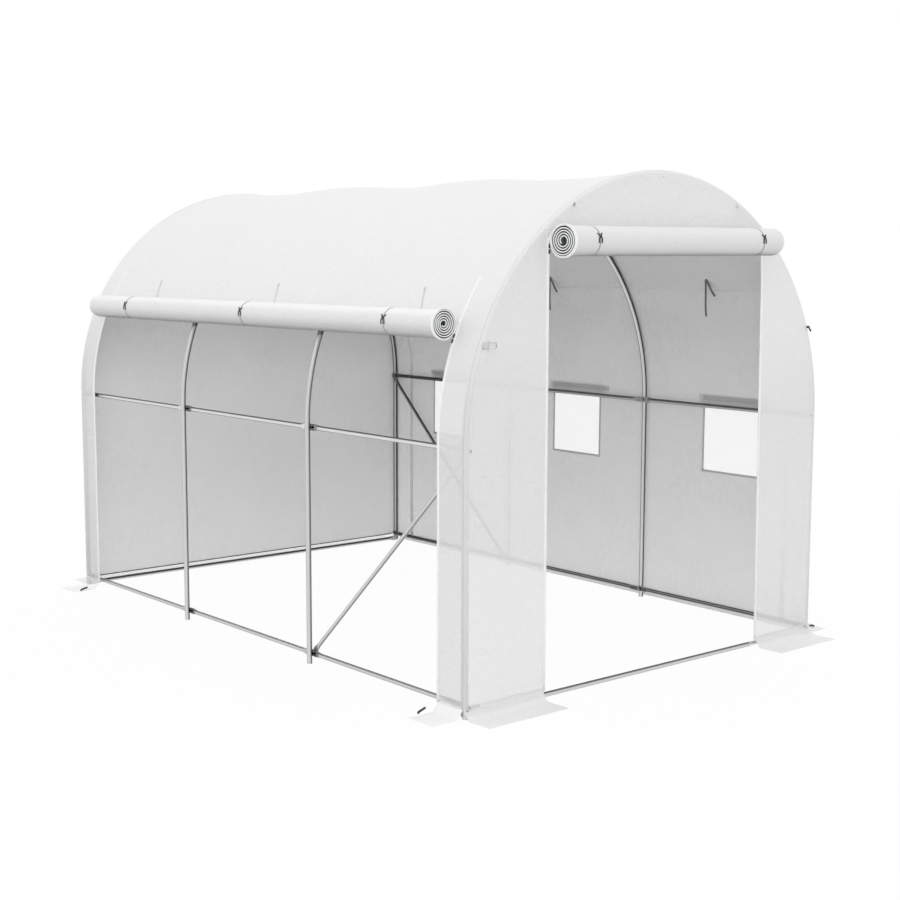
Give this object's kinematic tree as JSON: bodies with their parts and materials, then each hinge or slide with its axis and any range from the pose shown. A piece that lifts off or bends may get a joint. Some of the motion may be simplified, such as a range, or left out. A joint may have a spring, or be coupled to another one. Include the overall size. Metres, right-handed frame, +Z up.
{
  "type": "polytunnel greenhouse",
  "caption": "Round-roofed polytunnel greenhouse: hooped steel tube frame under a white woven sheet, with its door and one long side rolled up and netted windows opposite.",
  "frame": {"origin": "centre of the footprint at ground level", "axes": "+Z up, -Y out of the doorway, -X out of the open side"},
  "size_m": [2.2706, 3.2526, 1.9803],
  "materials": {
    "galvanised_tube": "galvanised",
    "cover_sheet": "woven sheet, translucent white",
    "insect_net": "fine white net",
    "tie_webbing": "grey webbing",
    "peg_steel": "dark"
  },
  "bodies": {
    "root": {"front_hoop_legs": "galvanised_tube", "second_hoop_legs": "galvanised_tube", "third_hoop_legs": "galvanised_tube", "back_hoop_legs": "galvanised_tube", "front_hoop_left_arc": "galvanised_tube", "second_hoop_left_arc": "galvanised_tube", "third_hoop_left_arc": "galvanised_tube", "back_hoop_left_arc": "galvanised_tube", "front_hoop_right_arc": "galvanised_tube", "second_hoop_right_arc": "galvanised_tube", "third_hoop_right_arc": "galvanised_tube", "back_hoop_right_arc": "galvanised_tube", "left_rails": "galvanised_tube", "right_rails": "galvanised_tube", "ridge_rails": "galvanised_tube", "left_sills": "galvanised_tube", "right_sills": "galvanised_tube", "front_sill": "galvanised_tube", "back_sill": "galvanised_tube", "left_brace": "galvanised_tube", "right_brace": "galvanised_tube", "roof_left_slope": "cover_sheet", "roof_right_slope": "cover_sheet", "left_front_strip": "cover_sheet", "left_back_strip": "cover_sheet", "right_front_strip": "cover_sheet", "right_back_strip": "cover_sheet", "right_side_panel": "cover_sheet", "window_flap_rolls": "cover_sheet", "front_left_panel": "cover_sheet", "front_right_panel": "cover_sheet", "front_gable": "cover_sheet", "back_wall": "cover_sheet", "left_side_roll": "cover_sheet", "door_roll": "cover_sheet", "front_skirts": "cover_sheet", "left_skirts": "cover_sheet", "right_skirt": "cover_sheet", "back_skirt": "cover_sheet", "window_nets": "insect_net", "side_roll_ties": "tie_webbing", "door_roll_ties": "tie_webbing", "right_tie_straps": "tie_webbing", "skirt_pegs": "peg_steel"}
  },
  "joints": []
}
